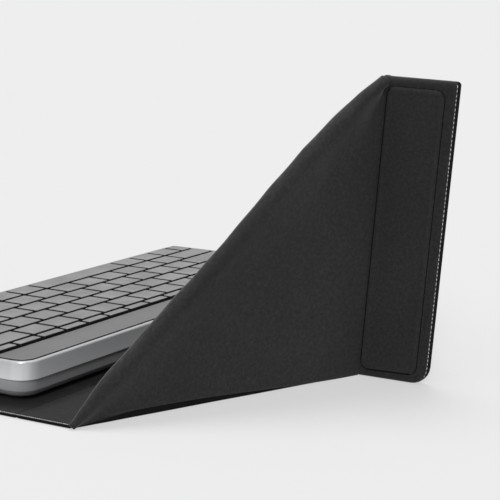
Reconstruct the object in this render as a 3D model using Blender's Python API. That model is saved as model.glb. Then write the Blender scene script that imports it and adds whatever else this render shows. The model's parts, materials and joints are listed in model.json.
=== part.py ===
"""Tablet keyboard case: a folio of stiffened fabric panels that folds into a
wedge-shaped stand behind a low keyboard.  Metres, +Z up, typist at -Y."""
import bpy
import bmesh
from math import sin, cos, radians, pi, sqrt
from mathutils import Vector, Matrix

for ob in list(bpy.data.objects):
    bpy.data.objects.remove(ob, do_unlink=True)

MM = 0.001

# ---------------------------------------------------------------- dimensions
YC = 116.2536            # design Y of the part's centre
ZC = -24.20              # design Z of the table top

KEY_HALF = 134.0         # half width of the key field
ROW_PITCH = 15.33        # front to back pitch of the key rows
COL_PITCH = 19.05        # side to side pitch of the keys
FN_PITCH = 17.89         # pitch of the function keys
FN_FAR = 84.0            # back edge of the function row
KEY_GAP = 1.0            # gap between two keycaps
KEY_H = 3.6              # height of a keycap
TRAVEL = 1.5             # key travel

KB_HALF = 140.0          # keyboard half width
KB_FRONT = -5.0
KB_BACK = 105.0
KB_R = 10.0              # corner radius in plan
RIM_TOP = -1.7
DECK_TOP = -2.7
JOINT_Z = -10.4          # parting line of the two shells
SHELL_BOTTOM = -20.5

HALF_W = 150.0           # half width of the folio
BASE_FRONT = -17.0
SPINE_Y = 107.0          # fold between base and shelf
FOLD_Y = 137.6           # fold between shelf and backrest
MID_Z = -23.0            # middle plane of the flat panels
SKIN_T = 0.6
BOARD_T = 1.0
GLUE = 0.1               # adhesive gap between two layers
HALF_T = SKIN_T + GLUE + BOARD_T / 2      # half thickness of a panel
CENTRE_OFF = 1.4         # each half of the stand stays this far off centre
STRIP_W = 37.5           # width of the magnet strip
K_Y, K_Z = 200.0, -24.0 + 0.0
A_Y, A_Z = 212.5, 122.5
DIAG_INSET = 4.9         # panel edge to the diagonal fold line
FOLD_INSET = 1.8         # panel edge to the other folds

# ---------------------------------------------------------------- collections
part = bpy.data.collections.new("tablet_keyboard_case")
tools = bpy.data.collections.new("cutters")
bpy.context.scene.collection.children.link(part)
bpy.context.scene.collection.children.link(tools)


def W(x, y, z):
    """A design point in millimetres as a world point in metres."""
    return Vector((x, y - YC, z - ZC)) * MM


# ---------------------------------------------------------------- materials
def material(name, colour, rough, metal=0.0):
    m = bpy.data.materials.new(name)
    m.use_nodes = True
    b = m.node_tree.nodes["Principled BSDF"]
    b.inputs["Base Color"].default_value = (*colour, 1.0)
    b.inputs["Roughness"].default_value = rough
    b.inputs["Metallic"].default_value = metal
    m.diffuse_color = (*colour, 1.0)
    return m


SPECS = {
    "fabric": ((0.030, 0.030, 0.031), 0.85, 0.0),
    "board": ((0.09, 0.085, 0.08), 0.8, 0.0),
    "foam": ((0.05, 0.05, 0.05), 0.9, 0.0),
    "magnet": ((0.55, 0.55, 0.56), 0.35, 1.0),
    "frame": ((0.30, 0.305, 0.315), 0.42, 0.6),
    "shell": ((0.28, 0.285, 0.29), 0.5, 0.2),
    "deck": ((0.27, 0.27, 0.27), 0.55, 0.0),
    "keycap": ((0.25, 0.25, 0.25), 0.6, 0.0),
    "black": ((0.012, 0.012, 0.012), 0.6, 0.0),
    "pcb": ((0.02, 0.12, 0.06), 0.5, 0.0),
    "battery": ((0.45, 0.45, 0.47), 0.4, 0.3),
    "steel": ((0.6, 0.6, 0.6), 0.3, 1.0),
    "rubber": ((0.02, 0.02, 0.02), 0.8, 0.0),
}


# ---------------------------------------------------------------- helpers
def rounded(pts, radii, seg=4):
    """Round the corners of a closed outline."""
    n = len(pts)
    if not hasattr(radii, "__len__"):
        radii = [radii] * n
    out = []
    for i in range(n):
        p = Vector(pts[i])
        a = (Vector(pts[i - 1]) - p)
        b = (Vector(pts[(i + 1) % n]) - p)
        r = radii[i]
        if r <= 0:
            out.append(p.copy())
            continue
        a.normalize()
        b.normalize()
        half = a.angle(b) / 2
        d = r / max(1e-6, abs(sin(half) / cos(half)))
        c = p + (a + b).normalized() * (r / sin(half))
        s = p + a * d - c
        e = p + b * d - c
        turn = s.angle_signed(e)
        for k in range(seg + 1):
            t = -turn * k / seg
            out.append(c + Vector((s.x * cos(t) - s.y * sin(t), s.x * sin(t) + s.y * cos(t))))
    return out


def rect(x0, y0, x1, y1, r=0.0, seg=4):
    return rounded([(x0, y0), (x1, y0), (x1, y1), (x0, y1)], r, seg)


def finish(ob, mat, smooth=False):
    for c in list(ob.users_collection):
        c.objects.unlink(ob)
    part.objects.link(ob)
    col, rough, metal = SPECS[mat]
    ob.data.materials.clear()
    ob.data.materials.append(material(ob.name + "_material", col, rough, metal))
    for p in ob.data.polygons:
        p.use_smooth = smooth
    return ob


def plate(name, outlines, z0, z1, frame=None, to_part=True):
    """A flat plate between two heights, from one outline and any holes in it.
    Outlines and heights are millimetres in the frame's own axes."""
    cu = bpy.data.curves.new(name + "_outline", "CURVE")
    cu.dimensions = "2D"
    cu.fill_mode = "BOTH"
    cu.extrude = (z1 - z0) / 2 * MM
    for pts in outlines:
        s = cu.splines.new("POLY")
        s.points.add(len(pts) - 1)
        for q, p in zip(s.points, pts):
            q.co = (p[0] * MM, p[1] * MM, 0.0, 1.0)
        s.use_cyclic_u = True
    tmp = bpy.data.objects.new(name + "_outline", cu)
    part.objects.link(tmp)
    tmp.matrix_world = (frame or Matrix.Translation(W(0, 0, 0))) @ Matrix.Translation((0, 0, (z0 + z1) / 2 * MM))
    bpy.context.view_layer.update()
    dg = bpy.context.evaluated_depsgraph_get()
    me = bpy.data.meshes.new_from_object(tmp.evaluated_get(dg))
    ob = bpy.data.objects.new(name, me)
    ob.matrix_world = tmp.matrix_world.copy()
    bpy.data.objects.remove(tmp, do_unlink=True)
    bm = bmesh.new()
    bm.from_mesh(me)
    bmesh.ops.remove_doubles(bm, verts=bm.verts, dist=0.00001)
    bmesh.ops.recalc_face_normals(bm, faces=bm.faces)
    bm.to_mesh(me)
    bm.free()
    (part if to_part else tools).objects.link(ob)
    if not to_part:
        ob.hide_render = True
        ob.display_type = "WIRE"
    return ob


def body(name, levels, seg=5, to_part=True):
    """A rounded box drawn by extruding its plan outline upwards.
    levels: (z, x half, y low, y high, corner radius) from the bottom up."""
    me = bpy.data.meshes.new(name)
    bm = bmesh.new()
    z, xh, y0, y1, r = levels[0]
    last = rect(-xh, y0, xh, y1, r, seg)
    face = bm.faces.new([bm.verts.new((p[0] * MM, p[1] * MM, z * MM)) for p in last])
    for z, xh, y0, y1, r in levels[1:]:
        out = bmesh.ops.extrude_face_region(bm, geom=[face])
        if z != levels[1][0]:
            bmesh.ops.delete(bm, geom=[face], context="FACES_ONLY")
        face = [f for f in out["geom"] if isinstance(f, bmesh.types.BMFace)][0]
        target = rect(-xh, y0, xh, y1, r, seg)
        for v in face.verts:
            i = min(range(len(last)), key=lambda k: (last[k][0] * MM - v.co.x) ** 2 + (last[k][1] * MM - v.co.y) ** 2)
            v.co = (target[i][0] * MM, target[i][1] * MM, z * MM)
        last = target
    bmesh.ops.recalc_face_normals(bm, faces=bm.faces)
    bm.to_mesh(me)
    bm.free()
    ob = bpy.data.objects.new(name, me)
    ob.location = W(0, 0, 0)
    (part if to_part else tools).objects.link(ob)
    if not to_part:
        ob.hide_render = True
        ob.display_type = "WIRE"
    return ob


def cut(ob, tool, op="DIFFERENCE"):
    bpy.context.view_layer.update()
    m = ob.modifiers.new("cut", "BOOLEAN")
    m.operation = op
    m.solver = "EXACT"
    m.object = tool
    bpy.context.view_layer.update()
    dg = bpy.context.evaluated_depsgraph_get()
    me = bpy.data.meshes.new_from_object(ob.evaluated_get(dg))
    ob.modifiers.clear()
    old = ob.data
    ob.data = me
    bpy.data.meshes.remove(old)
    bm = bmesh.new()
    bm.from_mesh(me)
    bmesh.ops.remove_doubles(bm, verts=bm.verts, dist=0.000002)
    bmesh.ops.dissolve_degenerate(bm, edges=bm.edges, dist=0.000002)
    bm.to_mesh(me)
    bm.free()
    return ob


def move_origin(ob, point):
    """Put the object's origin on a joint axis without moving its mesh."""
    bpy.context.view_layer.update()
    inv = ob.matrix_world.inverted()
    ob.data.transform(Matrix.Translation(-(inv @ point)))
    ob.matrix_world = Matrix.Translation(ob.matrix_world.to_3x3() @ (inv @ point)) @ ob.matrix_world


# ---------------------------------------------------------------- folio base
def layers(prefix, outline, frame, lining_up=True, insets=None, board_holes=()):
    """Outer skin, stiffener board and inner lining of one panel.
    The frame's own +Z is the lining side; Z = 0 is the middle plane."""
    h = HALF_T
    sk = plate(prefix + "_skin", [outline], -h, -h + SKIN_T, frame)
    bd = plate(prefix + "_board", [outline] + list(board_holes), -BOARD_T / 2, BOARD_T / 2, frame)
    ln = plate(prefix + "_lining", [outline], h - SKIN_T, h, frame)
    finish(sk, "fabric")
    finish(bd, "board")
    finish(ln, "fabric")
    return sk, bd, ln


flat = Matrix.Translation(W(0, 0, MID_Z))
base_outline = rounded([(-HALF_W, BASE_FRONT), (HALF_W, BASE_FRONT), (HALF_W, SPINE_Y - FOLD_INSET),
                        (-HALF_W, SPINE_Y - FOLD_INSET)], [6, 6, 0, 0])
layers("base", base_outline, flat)

spine_axis = W(0, SPINE_Y, MID_Z)
shelf_outline = rounded([(-HALF_W, SPINE_Y + FOLD_INSET), (HALF_W, SPINE_Y + FOLD_INSET),
                         (HALF_W, FOLD_Y - FOLD_INSET), (-HALF_W, FOLD_Y - FOLD_INSET)], [0, 0, 2, 2])
for ob in layers("shelf", shelf_outline, flat):
    move_origin(ob, spine_axis)

# ---------------------------------------------------------------- backrest
O = Vector((0, FOLD_Y, MID_Z))
back_dir = (Vector((0, A_Y, A_Z)) - O)
H1 = back_dir.length
back_dir.normalize()
back_x = Vector((1, 0, 0))
# the lining side looks at the typist, so +Z of the frame points to -Y and up
back_n = back_x.cross(back_dir)


def frame_from(origin, xa, ya, za):
    m = Matrix.Identity(4)
    for i, a in enumerate((xa, ya, za)):
        for k in range(3):
            m[k][i] = a[k]
    w = W(*origin)
    m[0][3], m[1][3], m[2][3] = w
    return m


def line_offset(p, q, d):
    """The line through p and q moved to its left by d, as point and direction."""
    u = (Vector(q) - Vector(p)).normalized()
    n = Vector((-u.y, u.x))
    return Vector(p) + n * d, u


def meet(l1, l2):
    p, u = l1
    q, v = l2
    den = u.x * v.y - u.y * v.x
    t = ((q.x - p.x) * v.y - (q.y - p.y) * v.x) / den
    return p + u * t


def inset(pts, ds):
    """Move each side of an anticlockwise outline inwards by its own amount."""
    n = len(pts)
    lines = [line_offset(pts[i], pts[(i + 1) % n], ds[i]) for i in range(n)]
    return [meet(lines[i - 1], lines[i]) for i in range(n)]


tri = [(-HALF_W, 0), (HALF_W, 0), (CENTRE_OFF, H1), (-CENTRE_OFF, H1)]
tri = inset(tri, [FOLD_INSET, DIAG_INSET, 3.0, DIAG_INSET])
back_frame = frame_from(O, back_x, back_dir, back_n)
for ob in layers("backrest", rounded(tri, [1.5, 1.5, 2, 2]), back_frame):
    move_origin(ob, W(*O))

# ---------------------------------------------------------------- wings, strips
K = Vector((CENTRE_OFF, K_Y, K_Z))
A = Vector((CENTRE_OFF, A_Y, A_Z))
crease = (A - K).normalized()
fin_dir = Vector((0, crease.z, -crease.y))


def side(name, sgn):
    mir = Vector((sgn, 1, 1))
    P0 = Vector((sgn * HALF_W, FOLD_Y, MID_Z))
    k = Vector((K.x * sgn, K.y, K.z))
    a = Vector((A.x * sgn, A.y, A.z))
    # wing plane: x towards the crease foot, y up, lining side outwards
    xa = (k - P0).normalized()
    za = xa.cross(a - P0).normalized()
    if za.y < 0:
        za = -za
    ya = za.cross(xa)
    wf = frame_from(P0, xa, ya, za)
    pk = Vector(((k - P0).dot(xa), (k - P0).dot(ya)))
    pa = Vector(((a - P0).dot(xa), (a - P0).dot(ya)))
    pts = [Vector((0, 0)), pk, pa]
    ds = [0.0, FOLD_INSET - 0.4, DIAG_INSET]
    if pk.cross(pa) < 0:
        pts = [pts[0], pts[2], pts[1]]
        ds = [DIAG_INSET, FOLD_INSET - 0.4, 0.0]
    pts = inset(pts, ds)
    wing = layers("wing_" + name, rounded(pts, [2.5, 1.2, 1.2] if ds[0] == 0 else [2.5, 1.2, 1.2]), wf)
    for ob in wing:
        move_origin(ob, W(*P0))
    # strip plane: x up the crease, y away from it
    zs = Vector((sgn, 0, 0))
    ys = fin_dir.copy()
    xs = ys.cross(zs)
    sf = frame_from(k, xs, ys, zs)
    L = (a - k).dot(xs)
    drop = -STRIP_W * (fin_dir.z) / crease.z
    up = 1 if L > 0 else -1
    q = [Vector((0, 0)), Vector((up * drop, STRIP_W)), Vector((L, STRIP_W)), Vector((L, 0))]
    if (q[1] - q[0]).cross(q[2] - q[1]) < 0:
        q = [q[0], q[3], q[2], q[1]]
        ds = [FOLD_INSET - 0.4, 2.2, 0.0, 0.0]
        rr = [0, 0, 2.0, 9.0]
    else:
        ds = [0.0, 0.0, 2.2, FOLD_INSET - 0.4]
        rr = [0, 9.0, 2.0, 0]
    q = inset(q, ds)
    lo, hi = sorted((0.0, L))
    if L > 0:
        x0, x1 = 12.0, L - 10.0
    else:
        x0, x1 = L + 10.0, -12.0
    pocket = rect(x0 + 22, 11.5, x1 - 22, 25.5, 2.0)
    strip = layers("strip_" + name, rounded(q, rr, 6), sf, board_holes=[pocket])
    mag = plate("strip_magnet_" + name, [rect(x0 + 22.3, 11.8, x1 - 22.3, 25.2, 1.7)], -0.45, 0.45, sf)
    finish(mag, "magnet")
    pad = plate("strip_pad_" + name, [rect(x0, 4.0, x1, 33.0, 5.0, 5)], HALF_T + 0.05, HALF_T + 0.75, sf)
    finish(pad, "foam")
    for ob in (*strip, mag, pad):
        move_origin(ob, W(*k))


side("right", 1)
side("left", -1)

# ---------------------------------------------------------------- keyboard shells
f_in = 2.0
upper = body("upper_frame", [
    (JOINT_Z, KB_HALF, KB_FRONT, KB_BACK, KB_R),
    (RIM_TOP - 0.7, KB_HALF, KB_FRONT, KB_BACK, KB_R),
    (RIM_TOP - 0.2, KB_HALF - 0.25, KB_FRONT + 0.25, KB_BACK - 0.25, KB_R - 0.25),
    (RIM_TOP, KB_HALF - 0.8, KB_FRONT + 0.8, KB_BACK - 0.8, KB_R - 0.8)], seg=7)
hollow = body("frame_hollow", [
    (JOINT_Z - 1, KB_HALF - f_in, KB_FRONT + f_in, KB_BACK - f_in, KB_R - f_in),
    (RIM_TOP + 1, KB_HALF - f_in, KB_FRONT + f_in, KB_BACK - f_in, KB_R - f_in)], seg=7, to_part=False)
cut(upper, hollow)

shell_levels = [
    (SHELL_BOTTOM, KB_HALF - 9.0, KB_FRONT + 9.0, KB_BACK - 9.0, 6.0),
    (SHELL_BOTTOM + 0.5, KB_HALF - 6.6, KB_FRONT + 6.6, KB_BACK - 6.6, 7.5),
    (SHELL_BOTTOM + 1.8, KB_HALF - 4.4, KB_FRONT + 4.4, KB_BACK - 4.4, 8.5),
    (SHELL_BOTTOM + 4.0, KB_HALF - 2.8, KB_FRONT + 2.8, KB_BACK - 2.8, 9.0),
    (JOINT_Z - 0.3, KB_HALF - 1.3, KB_FRONT + 1.3, KB_BACK - 1.3, 9.0)]
lower = body("lower_shell", shell_levels, seg=6)
tray = body("tray_hollow", [
    (SHELL_BOTTOM + 1.6, KB_HALF - 11.0, KB_FRONT + 11.0, KB_BACK - 11.0, 5.0),
    (SHELL_BOTTOM + 4.0, KB_HALF - 4.6, KB_FRONT + 4.6, KB_BACK - 4.6, 7.0),
    (JOINT_Z + 1, KB_HALF - 3.1, KB_FRONT + 3.1, KB_BACK - 3.1, 7.5)], seg=6, to_part=False)
cut(lower, tray)

# port and switch openings in the left side of the frame
port_hole = plate("port_hole", [rect(-4.9, -1.9, 4.9, 1.9, 1.8, 4)], -3.0, 3.0,
                  frame_from((-KB_HALF + 1.0, 86.0, -6.2), Vector((0, 1, 0)), Vector((0, 0, 1)), Vector((1, 0, 0))),
                  to_part=False)
cut(upper, port_hole)
switch_hole = plate("switch_hole", [rect(-4.5, -1.3, 4.5, 1.3, 1.2, 4)], -3.0, 3.0,
                    frame_from((-KB_HALF + 1.0, 66.0, -6.2), Vector((0, 1, 0)), Vector((0, 0, 1)), Vector((1, 0, 0))),
                    to_part=False)
cut(upper, switch_hole)
finish(upper, "frame")
finish(lower, "shell")

# ---------------------------------------------------------------- deck and insides
in_x = KB_HALF - f_in - 0.15
in_y0 = KB_FRONT + f_in + 0.15
in_y1 = KB_BACK - f_in - 0.15
deck = plate("key_deck", [rect(-in_x, in_y0, in_x, in_y1, KB_R - f_in - 0.15, 6),
                          rect(-KEY_HALF - 0.4, -0.4, KEY_HALF + 0.4, FN_FAR + 0.4, 0.8, 2)],
             DECK_TOP - 1.2, DECK_TOP)
finish(deck, "deck")
plate_top = -KEY_H - TRAVEL - 0.8
switch_plate = plate("switch_plate", [rect(-KEY_HALF - 1.0, -1.2, KEY_HALF + 1.0, FN_FAR + 6.0, 5.0, 4)],
                     plate_top - 1.0, plate_top)
finish(switch_plate, "black")
board = plate("circuit_board", [rect(-110, 70, 60, 92, 1.0, 2)], -10.2, -9.0)
finish(board, "pcb")
battery = plate("battery", [rect(-70, 8, 70, 60, 3.0, 3)], -16.5, -11.5)
finish(battery, "battery")
for i, (x, y) in enumerate(((-112, 12), (112, 12), (-112, 88), (112, 88))):
    pad = plate("mount_pad_%d" % (i + 1), [rect(x - 14, y - 5, x + 14, y + 5, 4.0, 4)],
                MID_Z + HALF_T + 0.05, SHELL_BOTTOM - 0.05)
    finish(pad, "rubber")

port_frame = frame_from((-KB_HALF + 1.0, 86.0, -6.2), Vector((0, 1, 0)), Vector((0, 0, 1)), Vector((1, 0, 0)))
port = plate("usb_port", [rect(-4.6, -1.6, 4.6, 1.6, 1.5, 5), rect(-4.2, -1.2, 4.2, 1.2, 1.1, 5)], -0.9, 3.4, port_frame)
finish(port, "steel")
sw_frame = frame_from((-KB_HALF + 1.0, 66.0, -6.2), Vector((0, 1, 0)), Vector((0, 0, 1)), Vector((1, 0, 0)))
knob = plate("power_switch", [rect(-4.0, -1.0, -0.5, 1.0, 0.6, 3)], -1.5, 1.0, sw_frame)
finish(knob, "black")
move_origin(knob, W(-KB_HALF, 64.0, -6.2))

# ---------------------------------------------------------------- keys
G = KEY_GAP / 2


def cap_row(name, spans, y0, y1):
    """One keycap, or a run of keycaps that share a thin runner under them."""
    obs = []
    for j, (x0, x1) in enumerate(spans):
        me = bpy.data.meshes.new(name)
        bm = bmesh.new()
        bmesh.ops.create_cube(bm, size=1.0)
        for v in bm.verts:
            top = v.co.z > 0
            ins = 0.35 if top else 0.0
            sx = 1 if v.co.x > 0 else -1
            sy = 1 if v.co.y > 0 else -1
            v.co.x = ((x0 + x1) / 2 + sx * ((x1 - x0) / 2 - G - ins)) * MM
            v.co.y = ((y0 + y1) / 2 + sy * ((y1 - y0) / 2 - G - ins)) * MM
            v.co.z = (0.0 if top else -KEY_H) * MM
        bm.to_mesh(me)
        bm.free()
        obs.append(me)
    if len(obs) == 1:
        ob = bpy.data.objects.new(name, obs[0])
    else:
        bm = bmesh.new()
        for me in obs:
            bm.from_mesh(me)
            bpy.data.meshes.remove(me)
        me = bpy.data.meshes.new(name)
        bm.to_mesh(me)
        bm.free()
        ob = bpy.data.objects.new(name, me)
    ob.location = W(0, 0, 0)
    part.objects.link(ob)
    if len(spans) > 1:
        xs = [s[0] for s in spans] + [s[1] for s in spans]
        yc = (y0 + y1) / 2
        runner = plate(name + "_runner", [rect(min(xs) + 2, yc - 1.5, max(xs) - 2, yc + 1.5)],
                       -KEY_H + 0.3, -KEY_H + 1.3, to_part=False)
        cut(ob, runner, "UNION")
        x_mid = (min(xs) + max(xs)) / 2
    else:
        x_mid = (spans[0][0] + spans[0][1]) / 2
    finish(ob, "keycap")
    move_origin(ob, W(x_mid, (y0 + y1) / 2, -KEY_H))
    return ob


def run(start, count, pitch):
    """Key edges from right to left."""
    return [(start - pitch * (i + 1), start - pitch * i) for i in range(count)]


R = [ROW_PITCH * i for i in range(6)] + [FN_FAR]
E = KEY_HALF
# function row
cap_row("key_power", [(118.0, E)], R[5], R[6])
cap_row("keys_function", run(118.0, 13, FN_PITCH), R[5], R[6])
cap_row("key_escape", [(-E, 118.0 - 13 * FN_PITCH)], R[5], R[6])
# number row
cap_row("key_backspace", [(98.8, E)], R[4], R[5])
cap_row("keys_number", run(98.8, 11, COL_PITCH) + [(-E, 98.8 - 11 * COL_PITCH)], R[4], R[5])
# upper letter row
cap_row("key_backslash", [(109.65, E)], R[3], R[4])
cap_row("keys_upper", run(109.65, 11, COL_PITCH), R[3], R[4])
cap_row("key_tab", [(-E, 109.65 - 11 * COL_PITCH)], R[3], R[4])
# home row
cap_row("key_enter", [(96.55, E)], R[2], R[3])
cap_row("keys_home", run(96.55, 10, COL_PITCH), R[2], R[3])
cap_row("key_caps_lock", [(-E, 96.55 - 10 * COL_PITCH)], R[2], R[3])
# lower letter row
cap_row("key_shift_right", [(88.3, E)], R[1], R[2])
cap_row("keys_lower", run(88.3, 10, COL_PITCH), R[1], R[2])
cap_row("key_shift_left", [(-E, 88.3 - 10 * COL_PITCH)], R[1], R[2])
# front row
aw = (E - 49.2) / 4
cap_row("key_arrow_right", [(E - aw, E)], R[0], R[1])
cap_row("key_arrow_up_down", [(E - 2 * aw, E - aw)], R[0], R[1])
cap_row("key_arrow_left", [(E - 3 * aw, E - 2 * aw)], R[0], R[1])
cap_row("keys_modifier_right", [(E - 4 * aw, E - 3 * aw), (30.15, 49.2), (11.1, 30.15)], R[0], R[1])
cap_row("key_space", [(-65.1, 11.1)], R[0], R[1])
cap_row("keys_modifier_left", run(-65.1, 3, COL_PITCH) + [(-E, -65.1 - 3 * COL_PITCH)], R[0], R[1])

for ob in list(tools.objects):
    ob.hide_render = True
    ob.display_type = "WIRE"
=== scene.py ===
import json
import math
import bpy
import numpy as np
from mathutils import Matrix, Vector

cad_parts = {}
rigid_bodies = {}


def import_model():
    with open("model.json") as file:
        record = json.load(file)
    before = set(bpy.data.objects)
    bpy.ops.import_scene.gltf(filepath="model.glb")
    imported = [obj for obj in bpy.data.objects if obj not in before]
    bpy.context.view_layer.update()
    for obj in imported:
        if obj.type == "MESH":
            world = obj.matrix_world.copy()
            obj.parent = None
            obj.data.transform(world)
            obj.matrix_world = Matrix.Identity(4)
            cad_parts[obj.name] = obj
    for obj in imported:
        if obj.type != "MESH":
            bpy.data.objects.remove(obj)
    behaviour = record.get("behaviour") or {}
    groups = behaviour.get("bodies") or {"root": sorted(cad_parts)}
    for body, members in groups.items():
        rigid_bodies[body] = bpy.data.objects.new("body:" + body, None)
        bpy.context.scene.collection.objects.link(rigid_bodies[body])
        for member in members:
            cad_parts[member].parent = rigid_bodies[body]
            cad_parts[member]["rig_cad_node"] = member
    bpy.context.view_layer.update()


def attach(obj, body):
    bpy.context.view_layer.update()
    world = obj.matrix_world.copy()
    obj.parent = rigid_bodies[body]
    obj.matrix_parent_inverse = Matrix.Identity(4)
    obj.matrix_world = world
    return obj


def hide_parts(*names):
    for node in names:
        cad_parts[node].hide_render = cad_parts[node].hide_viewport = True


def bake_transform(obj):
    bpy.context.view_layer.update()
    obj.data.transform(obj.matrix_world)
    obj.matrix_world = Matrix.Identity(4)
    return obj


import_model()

# design frame in millimetres: Z = 0 at the key tops, Y = 0 at the front row's front edge
YC, ZC = 116.2536, -24.2


def D(p):
    p = np.array(p, float)
    p[..., 1] -= YC
    p[..., 2] -= ZC
    return p * 0.001


def unit(v):
    v = np.asarray(v, float)
    return v / np.linalg.norm(v)


def smooth(t):
    t = np.clip(t, 0, 1)
    return t * t * (3 - 2 * t)


# ------------------------------------------------------------------ materials
def nodes_of(name):
    m = bpy.data.materials.new(name)
    m.use_nodes = True
    nt = m.node_tree
    b = nt.nodes["Principled BSDF"]
    tc = nt.nodes.new("ShaderNodeTexCoord")
    return m, nt, b, tc.outputs["Object"]


def math_node(nt, op, a, b=None):
    n = nt.nodes.new("ShaderNodeMath")
    n.operation = op
    for i, v in enumerate((a, b)):
        if v is None:
            continue
        if hasattr(v, "is_output"):
            nt.links.new(v, n.inputs[i])
        else:
            n.inputs[i].default_value = v
    return n.outputs[0]


def dot_node(nt, vec, axis):
    n = nt.nodes.new("ShaderNodeVectorMath")
    n.operation = "DOT_PRODUCT"
    nt.links.new(vec, n.inputs[0])
    n.inputs[1].default_value = axis
    return n.outputs["Value"]


def noise_node(nt, vec, scale, detail=3.0, rough=0.55):
    n = nt.nodes.new("ShaderNodeTexNoise")
    n.inputs["Scale"].default_value = scale
    n.inputs["Detail"].default_value = detail
    n.inputs["Roughness"].default_value = rough
    nt.links.new(vec, n.inputs["Vector"])
    return n.outputs["Fac"]


def ramp_node(nt, fac, stops):
    n = nt.nodes.new("ShaderNodeValToRGB")
    e = n.color_ramp.elements
    while len(e) < len(stops):
        e.new(0.5)
    for el, (pos, col) in zip(e, stops):
        el.position = pos
        el.color = (*col, 1.0) if hasattr(col, "__len__") else (col, col, col, 1.0)
    nt.links.new(fac, n.inputs["Fac"])
    return n.outputs["Color"]


def bump_node(nt, bsdf, height, distance, strength=1.0, under=None):
    n = nt.nodes.new("ShaderNodeBump")
    n.inputs["Strength"].default_value = strength
    n.inputs["Distance"].default_value = distance
    nt.links.new(height, n.inputs["Height"])
    if under is not None:
        nt.links.new(under, n.inputs["Normal"])
    nt.links.new(n.outputs["Normal"], bsdf.inputs["Normal"])
    return n.outputs["Normal"]


def fabric(name, u, v, tone=1.0, pitch=0.00062, sheen=0.34):
    """Close plain weave of dark melange yarn; u and v are the yarn directions."""
    m, nt, b, co = nodes_of(name)
    wob = noise_node(nt, co, 260.0, 3.0)
    wob2 = noise_node(nt, co, 1900.0, 2.0)
    k = 2 * math.pi / pitch
    pu = math_node(nt, "ADD", math_node(nt, "MULTIPLY", dot_node(nt, co, u), k), math_node(nt, "MULTIPLY", wob, 5.0))
    pv = math_node(nt, "ADD", math_node(nt, "MULTIPLY", dot_node(nt, co, v), k), math_node(nt, "MULTIPLY", wob, -5.0))
    weave = math_node(nt, "MULTIPLY", math_node(nt, "SINE", pu), math_node(nt, "SINE", pv))
    weave = math_node(nt, "ADD", math_node(nt, "MULTIPLY", weave, 0.5), 0.5)
    big = noise_node(nt, co, 14.0, 4.0)
    mid = noise_node(nt, co, 620.0, 4.0, 0.7)
    mix = math_node(nt, "ADD", math_node(nt, "MULTIPLY", weave, 0.26),
                    math_node(nt, "ADD", math_node(nt, "MULTIPLY", mid, 0.42),
                              math_node(nt, "ADD", math_node(nt, "MULTIPLY", wob2, 0.22), math_node(nt, "MULTIPLY", big, 0.20))))
    t = tone
    col = ramp_node(nt, mix, [(0.30, (0.0075 * t, 0.0075 * t, 0.0078 * t)), (0.55, (0.0150 * t, 0.0150 * t, 0.0152 * t)),
                              (0.72, (0.034 * t, 0.034 * t, 0.0335 * t))])
    nt.links.new(col, b.inputs["Base Color"])
    nt.links.new(ramp_node(nt, mix, [(0.3, 0.95), (0.7, 0.80)]), b.inputs["Roughness"])
    b.inputs["Sheen Weight"].default_value = sheen
    b.inputs["Sheen Roughness"].default_value = 0.36
    b.inputs["Sheen Tint"].default_value = (0.8, 0.8, 0.82, 1.0)
    b.inputs["Specular IOR Level"].default_value = 0.22
    fine = math_node(nt, "ADD", math_node(nt, "MULTIPLY", weave, 0.6), math_node(nt, "MULTIPLY", wob2, 0.8))
    n1 = bump_node(nt, b, fine, 0.00016, 0.55)
    bump_node(nt, b, big, 0.0009, 0.35, n1)
    return m


def thread(name, direction, pitch=0.0021):
    """Raw cut edge: pale yarn ends showing between dark ones."""
    m, nt, b, co = nodes_of(name)
    along = math_node(nt, "MULTIPLY", dot_node(nt, co, direction), 2 * math.pi / pitch)
    wob = noise_node(nt, co, 190.0, 2.0)
    s = math_node(nt, "SINE", math_node(nt, "ADD", along, math_node(nt, "MULTIPLY", wob, 7.0)))
    mix = math_node(nt, "ADD", math_node(nt, "MULTIPLY", s, 0.33), math_node(nt, "MULTIPLY", noise_node(nt, co, 900.0, 3.0), 0.95))
    nt.links.new(ramp_node(nt, mix, [(0.16, 0.03), (0.50, 0.22), (0.80, 0.46)]), b.inputs["Base Color"])
    b.inputs["Roughness"].default_value = 0.85
    bump_node(nt, b, mix, 0.0002, 0.7)
    return m


def plastic(name, dark, light, rough=(0.3, 0.42), speckle=2600.0, metal=0.0, bump=0.00002, ior=1.5, wear=None, coat=0.0):
    m, nt, b, co = nodes_of(name)
    grain = noise_node(nt, co, speckle, 2.0)
    cloud = noise_node(nt, co, 30.0, 4.0)
    mix = math_node(nt, "ADD", math_node(nt, "MULTIPLY", grain, 0.65), math_node(nt, "MULTIPLY", cloud, 0.35))
    col = ramp_node(nt, mix, [(0.35, dark), (0.68, light)])
    if wear is not None:
        geo = nt.nodes.new("ShaderNodeNewGeometry")
        edge = ramp_node(nt, geo.outputs["Pointiness"], [(0.52, 0.0), (0.60, 1.0)])
        mx = nt.nodes.new("ShaderNodeMixRGB")
        nt.links.new(edge, mx.inputs["Fac"])
        nt.links.new(col, mx.inputs["Color1"])
        mx.inputs["Color2"].default_value = (*wear, 1.0)
        col = mx.outputs["Color"]
    nt.links.new(col, b.inputs["Base Color"])
    nt.links.new(ramp_node(nt, mix, [(0.3, rough[0]), (0.7, rough[1])]), b.inputs["Roughness"])
    b.inputs["Metallic"].default_value = metal
    b.inputs["IOR"].default_value = ior
    b.inputs["Coat Weight"].default_value = coat
    bump_node(nt, b, grain, bump, 0.5)
    return m


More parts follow.
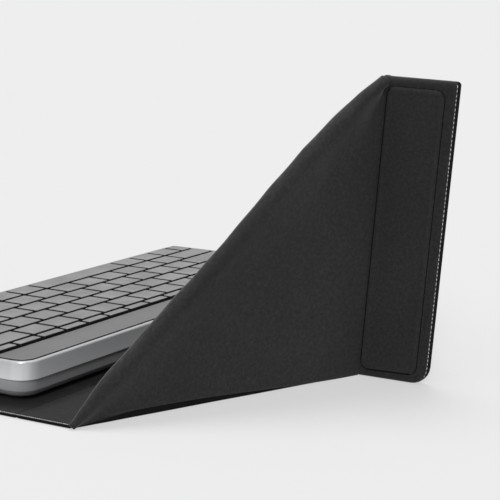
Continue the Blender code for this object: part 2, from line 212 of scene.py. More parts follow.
def z_split(name, z_mid, band, below, above, rough=(0.34, 0.44)):
    """Keycap plastic: matt near-black skirt as painted shade, finely textured satin top whose grey is partly the
    keycap's own tone and partly painted grazing reflection.
    """
    m, nt, b, co = nodes_of(name)
    z = dot_node(nt, co, (0, 0, 1))
    f = math_node(nt, "DIVIDE", math_node(nt, "SUBTRACT", z, z_mid - band), 2 * band)
    grain = noise_node(nt, co, 2400.0, 3.0, 0.7)
    cloud = noise_node(nt, co, 55.0, 3.0)
    top = ramp_node(nt, math_node(nt, "ADD", math_node(nt, "MULTIPLY", grain, 0.7), math_node(nt, "MULTIPLY", cloud, 0.3)),
                    [(0.34, above[0]), (0.66, above[1])])
    mx = nt.nodes.new("ShaderNodeMixRGB")
    nt.links.new(ramp_node(nt, f, [(0.0, 0.0), (1.0, 1.0)]), mx.inputs["Fac"])
    mx.inputs["Color1"].default_value = (*below, 1.0)
    nt.links.new(top, mx.inputs["Color2"])
    nt.links.new(mx.outputs["Color"], b.inputs["Base Color"])
    nt.links.new(ramp_node(nt, grain, [(0.3, rough[0]), (0.7, rough[1])]), b.inputs["Roughness"])
    bump_node(nt, b, grain, 0.00003, 0.6)
    return m


# ------------------------------------------------------------------ mesh helpers
def make(name, verts, faces, mats, face_mat=None, flat_faces=(), merge=0.0):
    me = bpy.data.meshes.new(name)
    me.from_pydata([tuple(map(float, v)) for v in verts], [], [tuple(map(int, f)) for f in faces])
    for mt in mats:
        me.materials.append(mt)
    smooth_flags = np.ones(len(me.polygons), bool)
    for i in flat_faces:
        smooth_flags[i] = False
    me.polygons.foreach_set("use_smooth", smooth_flags)
    if face_mat is not None:
        me.polygons.foreach_set("material_index", np.array(face_mat, np.int32))
    me.update()
    ob = bpy.data.objects.new(name, me)
    bpy.context.scene.collection.objects.link(ob)
    if merge:
        import bmesh
        bm = bmesh.new()
        bm.from_mesh(me)
        bmesh.ops.remove_doubles(bm, verts=bm.verts, dist=merge)
        bmesh.ops.recalc_face_normals(bm, faces=bm.faces)
        bm.to_mesh(me)
        bm.free()
    return ob


def join_parts(parts):
    """Several (verts, faces, face materials, flat faces) as one."""
    V, F, M, S = [], [], [], []
    for v, f, m, s in parts:
        k, kf = len(V), len(F)
        V += list(v)
        F += [tuple(i + k for i in q) for q in f]
        M += list(m)
        S += [i + kf for i in s]
    return V, F, M, S


def skin(loops, mats=None, ring=False):
    """Closed body from loops of equal length, first and last capped."""
    n = len(loops[0])
    V = np.concatenate(loops)
    F, M, S = [], [], []
    count = len(loops)
    last = count if ring else count - 1
    for j in range(last):
        a, b = j * n, ((j + 1) % count) * n
        for i in range(n):
            k = (i + 1) % n
            F.append((a + i, a + k, b + k, b + i))
            M.append(mats[j] if mats else 0)
    if not ring:
        S = [len(F), len(F) + 1]
        F.append(tuple(range(n))[::-1])
        F.append(tuple((count - 1) * n + i for i in range(n)))
        M += [0, 0]
    return V, F, M, S


def rounded(pts, radii, seg=6):
    n = len(pts)
    out = []
    for i in range(n):
        p = np.array(pts[i], float)
        a, b = np.array(pts[i - 1], float) - p, np.array(pts[(i + 1) % n], float) - p
        a, b = a / np.linalg.norm(a), b / np.linalg.norm(b)
        r = max(radii[i], 0.02)
        half = math.acos(np.clip(a @ b, -1, 1)) / 2
        d = r / math.tan(half)
        c = p + unit(a + b) * (r / math.sin(half))
        s, e = p + a * d - c, p + b * d - c
        turn = math.atan2(s[0] * e[1] - s[1] * e[0], s @ e)
        for k in range(seg + 1):
            t = turn * k / seg
            out.append(c + np.array([s[0] * math.cos(t) - s[1] * math.sin(t), s[0] * math.sin(t) + s[1] * math.cos(t)]))
    return np.array(out)


def inset(pts, ds):
    """An anticlockwise outline with each side moved in by its own amount."""
    n = len(pts)
    P = [np.array(p, float) for p in pts]
    lines = []
    for i in range(n):
        u = unit(P[(i + 1) % n] - P[i])
        lines.append((P[i] + np.array([-u[1], u[0]]) * ds[i], u))
    out = []
    for i in range(n):
        (p, u), (q, v) = lines[i - 1], lines[i]
        den = u[0] * v[1] - u[1] * v[0]
        t = ((q[0] - p[0]) * v[1] - (q[1] - p[1]) * v[0]) / den
        out.append(p + u * t)
    return out


def level(pts, radii, ds, z, seg=6):
    """One loop of a body drawn over an outline: sides moved in by ds, at height z."""
    ds = [ds] * len(pts) if not hasattr(ds, "__len__") else ds
    q = inset(pts, ds)
    rr = [max(r - (ds[i - 1] + ds[i]) / 2, 0.05) if r > 0 else 0.02 for i, r in enumerate(radii)]
    loop = rounded(q, rr, seg)
    return np.column_stack([loop, np.full(len(loop), z)])


def place(loop, origin, xa, ya, za):
    return np.asarray(origin, float) + loop[:, :1] * np.asarray(xa, float) + loop[:, 1:2] * np.asarray(ya, float) + loop[:, 2:] * np.asarray(za, float)


def edge_profile(h0, h1, steps=(0, 12, 28, 46, 66, 82, 90)):
    return [(1 - math.cos(math.radians(t)), h0 + (h1 - h0) * math.sin(math.radians(t)), t) for t in steps]


# ------------------------------------------------------------------ materials in use
# base and shelf fabric at about half the stand's tone: painted shade for the base lying in the shadow of the stand and
# keyboard
M_flat_shaded = fabric("fabric_flat_shaded", (1, 0, 0), (0, 1, 0), 0.52, sheen=0.03)
M_edge_y = thread("cut_edge_y", (0.15, 1, 0), 0.0011)
M_black = plastic("moulded_black", (0.006, 0.006, 0.006), (0.012, 0.012, 0.012), (0.5, 0.62), 1800.0)
M_frame = plastic("satin_frame", (0.215, 0.219, 0.228), (0.262, 0.266, 0.275), (0.30, 0.38), 3200.0, metal=0.35, bump=0.000010,
                  wear=(0.62, 0.63, 0.64))
M_shell = plastic("satin_shell", (0.35, 0.355, 0.368), (0.41, 0.415, 0.428), (0.30, 0.38), 3000.0, metal=0.35, bump=0.000010)
M_deck = plastic("deck_texture", (0.060, 0.060, 0.061), (0.105, 0.105, 0.106), (0.36, 0.48), 2600.0, bump=0.00003)
M_rubber = plastic("pad_rubber", (0.010, 0.010, 0.010), (0.022, 0.022, 0.022), (0.75, 0.9), 1500.0)
M_steel = plastic("port_steel", (0.45, 0.45, 0.46), (0.62, 0.62, 0.63), (0.22, 0.34), 3000.0, metal=1.0)
M_pcb = plastic("board_green", (0.008, 0.045, 0.022), (0.018, 0.075, 0.035), (0.4, 0.5), 1200.0)
M_cell = plastic("cell_foil", (0.30, 0.30, 0.32), (0.42, 0.42, 0.44), (0.3, 0.45), 700.0, metal=0.6)
M_magnet = plastic("magnet_plate", (0.42, 0.42, 0.43), (0.58, 0.58, 0.59), (0.25, 0.4), 1600.0, metal=1.0)
M_board = plastic("fibre_board", (0.030, 0.028, 0.026), (0.055, 0.052, 0.048), (0.8, 0.92), 900.0)
# keycaps: grey top partly painted grazing reflection, near-black lower edge painted shade
M_key = z_split("keycap_top_and_painted_light", 0.02390, 0.00010, (0.003, 0.003, 0.003), ((0.050, 0.050, 0.051), (0.210, 0.210, 0.212)))
# near-black painted shade for the keycaps' sides and the deck's walls, standing in for the shadowed gaps between them
M_skirt_shade = plastic("keycap_skirt_painted_shade", (0.002, 0.002, 0.002), (0.005, 0.005, 0.005), (0.7, 0.85), 1800.0)
# near-black painted shade: stands in for the shadow in gaps, grooves and under edges; it is no edge finish
M_painted_shade = plastic("painted_shade_black", (0.0015, 0.0015, 0.0015), (0.006, 0.006, 0.006), (0.85, 0.97), 1400.0, bump=0.00005)
for mt in (M_skirt_shade, M_painted_shade, M_black):
    mt.node_tree.nodes["Principled BSDF"].inputs["Specular IOR Level"].default_value = 0.12
for mt in (M_frame, M_shell):
    mt.node_tree.nodes["Principled BSDF"].inputs["Specular IOR Level"].default_value = 0.35
    mt.node_tree.nodes["Principled BSDF"].inputs["Metallic"].default_value = 0.28

# ------------------------------------------------------------------ flat panels
HALF_W, MID_Z, SPINE_Y, FOLD_Y = 150.0, -23.0, 107.0, 137.6
H = 1.2


def slab(name, pts, radii, widths, origin, xa, ya, za, mats, top=H, bottom=-H, seg=6, groove=None, lit=(), crown=0.0):
    """Fabric-wrapped board: rounded rims, an optional pressed channel, soft crown."""
    loops, mm = [], []
    prof = edge_profile(0.0, 1.0)
    low = [level(pts, radii, [w * a for w in widths], bottom * h, seg) for a, h, t in prof][::-1]
    low.insert(0, level(pts, radii, [w + 1.2 for w in widths], bottom, seg))
    up = [level(pts, radii, [w * a for w in widths], top * h, seg) for a, h, t in prof][1:]
    up.append(level(pts, radii, [w + 1.2 for w in widths], top, seg))
    if groove:
        at, wide, deep = groove
        for k, dz in ((0.0, 0.0), (0.25, 0.75), (0.5, 1.0), (0.75, 0.75), (1.0, 0.0), (1.4, 0.0)):
            up.append(level(pts, radii, [at + wide * k] * len(pts), top - deep * dz, seg))
    if crown:
        for k in (4.0, 9.0, 16.0):
            up.append(level(pts, radii, [k + (groove[0] + groove[1] * 1.4 if groove else 2)] * len(pts), top + crown * (1 - math.exp(-k / 6.0)), seg))
    loops = low + up
    nl = len(low)
    loops = [D(place(l, origin, xa, ya, za)) for l in loops]
    V, F, M, S = skin(loops)
    n = len(loops[0])
    # on each side listed in lit: material 1, the pale cut edge, on one shoulder band; the edge faces below it get
    # material 2, near-black, partly the lower skin and partly painted shade
    for k in lit:
        for i in range(k * (seg + 1) + seg, (k + 1) * (seg + 1) + 1):
            M[(nl + 1) * n + i % n] = 1
            for j in range(1, nl):
                M[j * n + i % n] = 2
    ob = make(name, V, F, mats, M, S)
    return ob


X, Y, Z = np.eye(3)
base_pts = [(-HALF_W, -17.0), (HALF_W, -17.0), (HALF_W, SPINE_Y + 0.5), (-HALF_W, SPINE_Y + 0.5)]
base = slab("base_cover", base_pts, [6, 6, 0, 0], [0.8, 0.8, 3.0, 0.8], (0, 0, MID_Z), X, Y, Z, [M_flat_shaded, M_edge_y, M_painted_shade], lit=(0, 1, 3))
shelf_pts = [(-HALF_W, SPINE_Y - 0.5), (HALF_W, SPINE_Y - 0.5), (HALF_W, FOLD_Y + 0.4), (-HALF_W, FOLD_Y + 0.4)]
shelf = slab("shelf_cover", shelf_pts, [0, 0, 1.5, 1.5], [3.0, 0.8, 2.6, 0.8], (0, 0, MID_Z), X, Y, Z, [M_flat_shaded, M_edge_y, M_painted_shade], lit=(1, 3))
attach(base, "base")
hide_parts("base_skin", "base_board", "base_lining")
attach(shelf, "shelf")
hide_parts("shelf_skin", "shelf_board", "shelf_lining")

# ------------------------------------------------------------------ stand
C0 = 1.4
O = np.array([0, FOLD_Y, MID_Z])
AP = np.array([0, 212.5, 122.5])
back_dir = unit(AP - O)
H1 = np.linalg.norm(AP - O)
back_n = np.cross(X, back_dir)
M_back = fabric("fabric_backrest", tuple(X), tuple(back_dir), 1.0)
tri = [(-HALF_W, -0.4), (HALF_W, -0.4), (C0, H1), (-C0, H1)]
tri_in = inset(tri, [0.0, 9.5, 20.0, 9.5])
back = slab("backrest_panel", tri_in, [2.5, 2.5, 2.5, 2.5], [2.4, 1.4, 1.4, 1.4], O, X, back_dir, back_n, [M_back], top=1.45, bottom=-1.45,
            groove=(4.5, 1.8, 0.35))
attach(back, "backrest")
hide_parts("backrest_skin", "backrest_board", "backrest_lining")

BOW_S = [0.0, 0.1, 0.3, 0.45, 0.55, 0.63, 0.69, 0.75, 0.80, 0.84, 0.93, 1.0]
BOW_D = [2.6, 3.6, 3.9, 4.1, 4.8, 6.1, 6.7, 7.0, 6.6, 6.0, 4.5, 0.9]
ARC = np.radians([0, 9, 20, 32, 45, 58, 74, 90])
SPAN = np.array([0.14, 0.30, 0.46, 0.62, 0.80, 1.0])


def fold_piece(tag, sg):
    P0 = np.array([sg * HALF_W, FOLD_Y, MID_Z])
    K = np.array([sg * C0, 200.0, -24.0])
    A = np.array([sg * C0, 212.5, 122.5])
    e = unit(A - P0)
    L = np.linalg.norm(A - P0)
    u1 = unit((O - P0) - e * ((O - P0) @ e))
    u2 = unit((K - P0) - e * ((K - P0) @ e))
    o = -unit(u1 + u2)
    n2 = -unit(u1 - (u1 @ u2) * u2)
    n1 = -unit(u2 - (u1 @ u2) * u1)
    w2 = unit(u2 - (u2 @ o) * o)
    sK = ((K - P0) @ e) / L
    qK = (K - P0) @ u2
    cs = np.unique(np.concatenate([[sK], 0.5 - 0.5 * np.cos(np.linspace(0, math.pi, 64)), np.linspace(0.02, 0.98, 70)]))
    cs = cs[np.concatenate([[True], np.diff(cs) > 0.002])]
    cs[np.argmin(abs(cs - sK))] = sK
    faceN = 26

    def leg(F, N, su, sw, r, d0, far):
        """Points and tangents from the nose out along one leg of the fold."""
        c = N - o * r
        p1 = c + r * (np.cos(ARC)[:, None] * o + np.sin(ARC)[:, None] * sw)
        t1 = -np.sin(ARC)[:, None] * o + np.cos(ARC)[:, None] * sw
        c0, c3 = p1[-1], F + su * d0
        g = np.linalg.norm(c3 - c0) * 0.36
        c1, c2 = c0 - o * g, c3 - su * g
        t = SPAN[:, None]
        p2 = (1 - t) ** 3 * c0 + 3 * (1 - t) ** 2 * t * c1 + 3 * (1 - t) * t * t * c2 + t ** 3 * c3
        t2 = 3 * (1 - t) ** 2 * (c1 - c0) + 6 * (1 - t) * t * (c2 - c1) + 3 * t * t * (c3 - c2)
        p3 = F + su * far[:, None]
        t3 = np.tile(su, (len(far), 1))
        p, d = np.concatenate([p1, p2, p3]), np.concatenate([t1, t2, t3])
        return p, d / np.maximum(np.linalg.norm(d, axis=1, keepdims=True), 1e-9)

    MIDS, NORM, HO, INFO, BAND = [], [], [], [], []
    for s in cs:
        F = P0 + e * (L * s)
        bow = np.interp(s, BOW_S, BOW_D)
        k = 1 - smooth(s / 0.10)
        N = F + o * bow * (1 - k) + np.array([sg * 0.6, 0, 0.2]) * k
        if s <= sK:
            f = s / sK
            qmax = qK * f + (1.15 - 1.0 * f) / 0.747
            band = 3.5 * (1 - smooth((f - 0.30) / 0.66)) + 0.12
            rim = np.array([band + 2.2, band + 1.2, band + 0.5, band + 0.14, band * 0.86, band * 0.55, band * 0.3, band * 0.1, 0]) / 0.747
        else:
            qmax = qK * (1 - s) / (1 - sK) + 0.1
            band = 0.0
            rim = np.array([2.2, 1.5, 1.1, 0.8, 0.55, 0.35, 0.2, 0.06, 0]) / 0.73
        kk = min(1.0, qmax / 40.0)
        d0 = 24.0 * kk
        rim = rim * min(1.0, (qmax - d0) * 0.8 / rim[0])
        b0 = qmax - rim
        far = np.concatenate([d0 + (b0[0] - d0) * np.linspace(0, 1, faceN + 2)[1:-1], b0])
        r = max(min(3.7, 0.20 * d0 + 0.5), 2.3 * smooth((s - 0.78) / 0.12), 0.9)
        p, d = leg(F, N, u2, w2, r, d0, far)
        n = np.cross(e, d)
        if n[-1] @ n2 < 0:
            n = -n
        kb = min(1.0, max(min(s * L * 1.0, (1 - s) * L * 0.93), 0.3) / 16.0)
        pb, dd = leg(F, N, u1, -w2, r, 14.0 * kb, np.array([15.0, 16.0]) * kb)
        nb = np.cross(e, dd)
        if nb[-1] @ n1 < 0:
            nb = -nb
        q = np.concatenate([[0], np.cumsum(np.linalg.norm(np.diff(p, axis=0), axis=1))])
        qb = np.concatenate([[0], np.cumsum(np.linalg.norm(np.diff(pb, axis=0), axis=1))])
        h = 0.85 + 0.35 * smooth((q - 9) / 9)
        dist = np.full(len(q), 99.0)
        dist[-len(rim):] = rim * (0.747 if s <= sK else 0.73)
        width = 0.7 if s <= sK else 0.95
        rimf = np.sqrt(np.clip(1 - (1 - np.clip(dist / width, 0, 1)) ** 2, 0, 1))
        if s > sK:
            rimf = 0.25 + 0.75 * rimf
        rimf[-1] = 0.0
        h = h * rimf
        hb = np.full(len(qb), 0.85)
        hb[-1] = 0.0
        MIDS.append(np.concatenate([pb[:0:-1], p]))
        nn = np.concatenate([nb[:0:-1], n])
        nn[len(pb) - 1] = o
        NORM.append(nn)
        HO.append(np.concatenate([hb[:0:-1], h]))
        INFO.append(np.concatenate([-qb[:0:-1], q]))
        BAND.append(np.concatenate([np.full(len(qb) - 1, 99.0), dist - band]))
    BD = np.array(BAND)
    P, N_, HH, Q = map(np.array, (MIDS, NORM, HO, INFO))
    # relief of the padded face, in millimetres along its own normal
    flat = smooth((Q - 6) / 12) * smooth(HH / 1.0)
    sx = np.repeat(cs[:, None], P.shape[1], 1)
    Zw = P[..., 2] - ZC
    Xw = abs(P[..., 0])
    far = smooth((Q - 10) / 25)
    relief = 0.16 * np.sin(Xw / 17.0 + 0.8) * np.sin(Zw / 23.0 + 0.3) + 0.07 * np.sin(Xw / 7.3 + Zw / 15.0)
    dent = -0.8 * np.exp(-(((sx - 0.765) / 0.035) ** 2) - ((Q - 17) / 9.0) ** 2)
    dent += 0.4 * np.exp(-(((sx - 0.70) / 0.05) ** 2) - ((Q - 12) / 9.0) ** 2)
    board = -0.16 * np.exp(-((Xw - 47.0) / 0.8) ** 2) * far
    press = -0.08 * smooth((Q - 16) / 4) * (1 - smooth((Q - 22) / 10))
    nose_soft = 0.14 * np.sin(sx * 61.0) * np.exp(-(Q / 7.0) ** 2) + 0.12 * np.sin(sx * 23.0 + 1.0) * np.exp(-(Q / 9.0) ** 2)
    ends = smooth(np.minimum(sx, 1 - sx) / 0.05)
    disp = ((relief * 0.8 + dent + board + press) * flat + nose_soft * (Q > -14)) * ends
    isbot = (sx <= sK) & (BD < 90)
    disp -= np.where(isbot, 0.75 * smooth((0.3 - BD) / 0.5) * smooth((0.97 - sx / sK) / 0.12), 0.0)
    P = P + N_ * disp[..., None]
    top = P + N_ * HH[..., None]
    bot = P - N_ * HH[..., None]
    floor_z = ZC + 0.12
    for g in (top, bot):
        g[..., 2] = np.maximum(g[..., 2], floor_z)
    nr, nc = P.shape[:2]
    V = np.concatenate([top.reshape(-1, 3), bot.reshape(-1, 3)])
    F_, FM = [], []
    off = nr * nc
    for i in range(nr - 1):
        for j in range(nc - 1):
            a, b, c, d = i * nc + j, i * nc + j + 1, (i + 1) * nc + j + 1, (i + 1) * nc + j
            F_.append((a, b, c, d))
            F_.append((off + d, off + c, off + b, off + a))
            # near-black painted shade on the last rows: along the wing's lifted bottom edge it stands for the shadowed
            # gap under it, along the crease with the strip for the shade in the groove
            shade_face = 1 if (j >= nc - 6 and cs[i] < 0.95 * sK) or (j >= nc - 4 and cs[i] >= sK) else 0
            FM += [shade_face, shade_face]
    for i in (0, nr - 1):
        for j in range(nc - 1):
            a, b = i * nc + j, i * nc + j + 1
            F_.append((a, off + a, off + b, b) if i == 0 else (a, b, off + b, off + a))
            FM.append(0)
    xa = unit(K - P0)
    ya = unit(A - K)
    mat = fabric("fabric_wing_" + tag, tuple(xa), tuple(ya), 0.92)
    ob = make("fold_" + tag, D(V), F_, [mat, M_painted_shade], FM, merge=0.000004)
    # points 7 mm either side of the fold's midpoint, worked out and not used; no flat cut (the wing's triangle and a 16
    # mm tuck behind the fold, tapered at both ends) is made, and nothing allows for the fold's own bulge
    Fm = P0 + e * (L * 0.5)
    D(Fm + u1 * 7.0)
    D(Fm + u2 * 7.0)
    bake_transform(ob)
    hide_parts("wing_%s_skin" % tag, "wing_%s_board" % tag, "wing_%s_lining" % tag)
    return ob


folds = {t: fold_piece(t, s) for t, s in (("right", 1), ("left", -1))}

# ------------------------------------------------------------------ magnet strips
crease = unit(np.array([0, 212.5 - 200.0, 122.5 + 24.0]))
fin_dir = np.array([0, crease[2], -crease[1]])
STRIP_W = 37.5


def strip_piece(tag, sg):
    K = np.array([0.0, 200.0, -24.0])
    Lc = np.linalg.norm(np.array([0, 12.5, 146.5]))
    drop = -STRIP_W * fin_dir[2] / crease[2]
    # local x up the crease, local y away from it, local z outwards
    pts = [(-0.0, -0.2), (Lc + 1.0, -0.2), (Lc + 3.0, STRIP_W), (drop, STRIP_W)]
    rr = [0.3, 0.6, 1.6, 9.0]
    order_ok = True
    xa, ya, za = crease, fin_dir, np.array([sg, 0, 0])
    w_cr, w_top, w_out, w_bot = 0.9, 3.0, 0.9, 1.0
    widths = [w_cr, w_top, w_out, w_bot]
    mat = fabric("fabric_strip_" + tag, tuple(crease), tuple(fin_dir), 0.78)
    M_th = thread("cut_edge_strip_" + tag, (0.0, 0.08, 1.0))
    loops, mm = [], []
    inner = [(w, 0.12) for w in (6.0, 0.5)]
    for w, z in inner:
        loops.append(level(pts, rr, [w] * 4, z))
    base_n = len(loops)
    prof = edge_profile(0.25, 2.5, (0, 14, 30, 48, 62, 78, 90))
    for a, z, t in prof:
        loops.append(level(pts, rr, [w * a for w in widths], z))
    loops.append(level(pts, rr, [1.2, 3.6, 2.2, 1.6], 2.46))
    loops.append(level(pts, rr, [1.4, 4.2, 3.4, 2.2], 2.28))
    loops.append(level(pts, rr, [1.6, 4.8, 4.4, 2.8], 2.02))
    n_rim = len(loops)
    for j in range(len(loops) - 1):
        mm.append(0)
    loops = [D(place(l, K, xa, ya, za)) for l in loops]
    V, F, M, S = skin(loops, mm)
    # pale yarn ends on the shoulder of the outer edge only; the edge's other faces get near-black painted shade
    n = len(loops[0])
    seg = 6
    for j in range(base_n - 1, base_n + 4):
        for i in range(n):
            # side between corner 2's last point and corner 3's first point
            if 2 * (seg + 1) + 2 <= i < 3 * (seg + 1) + 2:
                M[j * n + i] = 1 if j == base_n + 3 else 2
    ob = make("strip_" + tag, V, F, [mat, M_th, M_painted_shade], M, S)
    # raised pad under the fabric, pressed in round its rim
    ppts = [(3.6, 1.5), (Lc - 3.4, 1.5), (Lc - 1.9, 31.6), (6.8, 31.6)]
    pr = [4.6, 4.6, 4.6, 4.6]
    pl = []
    for w, z in ((-0.3, 1.85), (-0.2, 2.00), (0.1, 2.45), (0.5, 2.98), (1.0, 3.40), (1.6, 3.62), (2.2, 3.58), (3.0, 3.38), (4.0, 3.26), (7.0, 3.28), (11.0, 3.33)):
        pl.append(level(ppts, pr, [w] * 4, z, 8))
    pl = [D(place(l, K, xa, ya, za)) for l in pl]
    V, F, M, S = skin(pl)
    n = len(pl[0])
    # near-black painted shade on the pad's lower bevel, round its first corner and all round on the second band,
    # standing in for a shadowed groove
    for j in range(0, 4):
        for i in range(n):
            if i >= n - 3 or i < 9 + 5 or j == 1:
                M[j * n + i] = 1
    pad = make("strip_pad_cover_" + tag, V, F, [mat, M_painted_shade], M, S)
    for q in (ob, pad):
        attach(q, "strip_" + tag)
    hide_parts("strip_%s_skin" % tag, "strip_%s_board" % tag, "strip_%s_lining" % tag, "strip_magnet_" + tag)
    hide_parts("strip_pad_" + tag)
    return ob


for t, s in (("right", 1), ("left", -1)):
    strip_piece(t, s)

# ------------------------------------------------------------------ keyboard
def clean_copy(node, mat, ang, body="base"):
    """The node's shape with its vertices welded, so that curved faces shade smoothly."""
    import bmesh
    src = [o for o in bpy.context.scene.objects if o.get("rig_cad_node") == node][0]
    me = src.data.copy()
    me.materials.clear()
    me.materials.append(mat)
    bm = bmesh.new()
    bm.from_mesh(me)
    bmesh.ops.remove_doubles(bm, verts=bm.verts, dist=0.000003)
    bmesh.ops.dissolve_limit(bm, angle_limit=math.radians(0.5), verts=bm.verts, edges=bm.edges)
    bmesh.ops.recalc_face_normals(bm, faces=bm.faces)
    for f in bm.faces:
        f.smooth = True
        f.material_index = 0
    bm.to_mesh(me)
    bm.free()
    me.set_sharp_from_angle(angle=math.radians(ang))
    ob = bpy.data.objects.new(node + "_skin", me)
    bpy.context.scene.collection.objects.link(ob)
    ob.matrix_world = src.matrix_world.copy()
    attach(ob, body)
    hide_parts(node)
    return ob


for node, mat, ang in (("upper_frame", M_frame, 32), ("lower_shell", M_shell, 38), ("mount_pad_1", M_rubber, 35), ("mount_pad_2", M_rubber, 35),
                       ("mount_pad_3", M_rubber, 35), ("mount_pad_4", M_rubber, 35), ("usb_port", M_steel, 35)):
    q = clean_copy(node, mat, ang)
clean_copy("power_switch", M_black, 35, "power_switch")
for node, mat in (("switch_plate", M_black), ("circuit_board", M_pcb), ("battery", M_cell)):
    ob = [o for o in bpy.context.scene.objects if o.get("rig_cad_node") == node][0]
    ob.data.materials.clear()
    ob.data.materials.append(mat)
    ob.data.polygons.foreach_set("material_index", np.zeros(len(ob.data.polygons), np.int32))

G = 0.5
rect4 = lambda x0, y0, x1, y1: [(x0, y0), (x1, y0), (x1, y1), (x0, y1)]
out4, in4 = rect4(-138.0, -3.0, 138.0, 103.0), rect4(-134.4, -0.4, 134.4, 84.4)
ring = [level(out4, [8] * 4, w, z, 6) for w, z in ((0.35, -3.9), (0.35, -1.34), (0.42, -1.22), (0.75, -1.15), (1.3, -1.15))]
ring += [level(in4, [0.9] * 4, w, z, 6) for w, z in ((-0.6, -1.15), (-0.2, -1.17), (-0.04, -1.30), (0.0, -1.5), (0.0, -3.9))]
# the deck cover's outer wall and inner walls get the near-black painted shade, drawing the dark gap lines round the
# deck and the key field
V, F, M, S = skin([D(l) for l in ring], mats=[1, 0, 0, 0, 0, 0, 0, 0, 1, 1], ring=True)
deck = make("deck_cover", V, F, [M_deck, M_skirt_shade], M, S)
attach(deck, "base")
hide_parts("key_deck")


def caps(node, body_name, spans, y0, y1):
    parts = []
    for x0, x1 in spans:
        pts = [(x0 + G, y0 + G), (x1 - G, y0 + G), (x1 - G, y1 - G), (x0 + G, y1 - G)]
        rr = [1.1] * 4
        loops = []
        for w, z in ((1.2, -3.55), (0.0, -3.55), (0.0, -3.2), (0.20, -1.6), (0.40, -0.75), (0.56, -0.42), (0.70, -0.20), (0.90, -0.06), (1.15, -0.01),
                     (1.7, -0.03), (2.6, -0.10), (3.6, -0.15)):
            if w > 0.45 * (y1 - y0 - 1):
                continue
            q = inset(pts, [w] * 4)
            loop = rounded(q, [max(1.1 - w * 0.35, 0.45)] * 4, 4)
            loops.append(D(np.column_stack([loop, np.full(len(loop), z)])))
        # the lower six bands, the keycap's sides, get the near-black painted shade; the top keeps the keycap material
        parts.append(skin(loops, [1] * 6 + [0] * 20))
    V, F, M, S = join_parts(parts)
    ob = make("caps_" + node, V, F, [M_key, M_skirt_shade], M, S)
    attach(ob, body_name)
    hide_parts(node)
    return ob


def run(start, count, pitch):
    return [(start - pitch * (i + 1), start - pitch * i) for i in range(count)]


R = [15.33 * i for i in range(6)] + [84.0]
E, CP, FP = 134.0, 19.05, 17.89
aw = (E - 49.2) / 4
KEYS = [
    ("key_power", [(118.0, E)], 5), ("keys_function", run(118.0, 13, FP), 5), ("key_escape", [(-E, 118.0 - 13 * FP)], 5),
    ("key_backspace", [(98.8, E)], 4), ("keys_number", run(98.8, 11, CP) + [(-E, 98.8 - 11 * CP)], 4),
    ("key_backslash", [(109.65, E)], 3), ("keys_upper", run(109.65, 11, CP), 3), ("key_tab", [(-E, 109.65 - 11 * CP)], 3),
    ("key_enter", [(96.55, E)], 2), ("keys_home", run(96.55, 10, CP), 2), ("key_caps_lock", [(-E, 96.55 - 10 * CP)], 2),
    ("key_shift_right", [(88.3, E)], 1), ("keys_lower", run(88.3, 10, CP), 1), ("key_shift_left", [(-E, 88.3 - 10 * CP)], 1),
    ("key_arrow_right", [(E - aw, E)], 0), ("key_arrow_up_down", [(E - 2 * aw, E - aw)], 0), ("key_arrow_left", [(E - 3 * aw, E - 2 * aw)], 0),
    ("keys_modifier_right", [(E - 4 * aw, E - 3 * aw), (30.15, 49.2), (11.1, 30.15)], 0), ("key_space", [(-65.1, 11.1)], 0),
    ("keys_modifier_left", run(-65.1, 3, CP) + [(-E, -65.1 - 3 * CP)], 0)]
for node, spans, r in KEYS:
    caps(node, node, spans, R[r], R[r + 1])

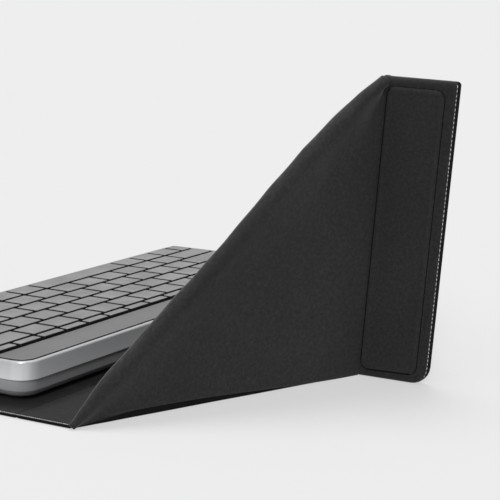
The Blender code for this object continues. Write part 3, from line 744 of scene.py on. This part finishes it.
# ------------------------------------------------------------------ stage, light, camera
fm, nt, b, co = nodes_of("floor_pale")
tone = noise_node(nt, co, 1.5, 2.0)
FLOOR = 0.20
nt.links.new(ramp_node(nt, tone, [(0.0, FLOOR * 0.998), (1.0, FLOOR * 1.002)]), b.inputs["Base Color"])
b.inputs["Roughness"].default_value = 1.0
b.inputs["Specular IOR Level"].default_value = 0.0
b.inputs["Emission Color"].default_value = (1.0, 1.0, 1.0, 1.0)
b.inputs["Emission Strength"].default_value = 0.505
floor = make("floor", [(-60, -60, 0), (60, -60, 0), (60, 60, 0), (-60, 60, 0)], [(0, 1, 2, 3)], [fm])

world = bpy.data.worlds.new("studio")
bpy.context.scene.world = world
world.use_nodes = True
wn = world.node_tree
bg = wn.nodes["Background"]
tc = wn.nodes.new("ShaderNodeTexCoord")
sep = dot_node(wn, tc.outputs["Generated"], (0, 0, 1))
wn.links.new(ramp_node(wn, sep, [(0.0, 0.80), (0.30, 0.62), (0.75, 0.70), (1.0, 0.85)]), bg.inputs["Color"])
bg.inputs["Strength"].default_value = 1.0


def sun(name, direction, energy, angle):
    ld = bpy.data.lights.new(name, "SUN")
    ld.energy = energy
    ld.angle = math.radians(angle)
    ob = bpy.data.objects.new(name, ld)
    bpy.context.scene.collection.objects.link(ob)
    ob.rotation_mode = "QUATERNION"
    ob.rotation_quaternion = Vector(direction).to_track_quat("-Z", "Y")
    return ob


sun("key_light", (0.30, 0.22, -1.0), 2.5, 30)
sun("side_light", (-0.75, -0.38, -0.55), 1.6, 14)

cam_data = bpy.data.cameras.new("camera")
cam = bpy.data.objects.new("camera", cam_data)
bpy.context.scene.collection.objects.link(cam)
az, el, roll = math.radians(121.141), math.radians(10.56), math.radians(0.39)
bk = np.array([math.sin(az) * math.cos(el), -math.cos(az) * math.cos(el), math.sin(el)])
fwd = -bk
right = np.array([math.cos(az), math.sin(az), 0.0])
up = np.cross(right, fwd)
c, s = math.cos(roll), math.sin(roll)
r0, r1 = c * right + s * up, -s * right + c * up
loc = D(np.array([686.0, 551.6, 181.2]))
M4 = Matrix.Identity(4)
for i in range(3):
    M4[i][0], M4[i][1], M4[i][2], M4[i][3] = r0[i], r1[i], -fwd[i], loc[i]
cam.matrix_world = M4
cam_data.sensor_width = 36.0
cam_data.lens = 1606.8 / 500 * 36.0
cam_data.clip_start = 0.01
cam_data.clip_end = 500.0
bpy.context.scene.camera = cam
bpy.context.scene.view_settings.view_transform = "Standard"
bpy.context.scene.view_settings.look = "None"
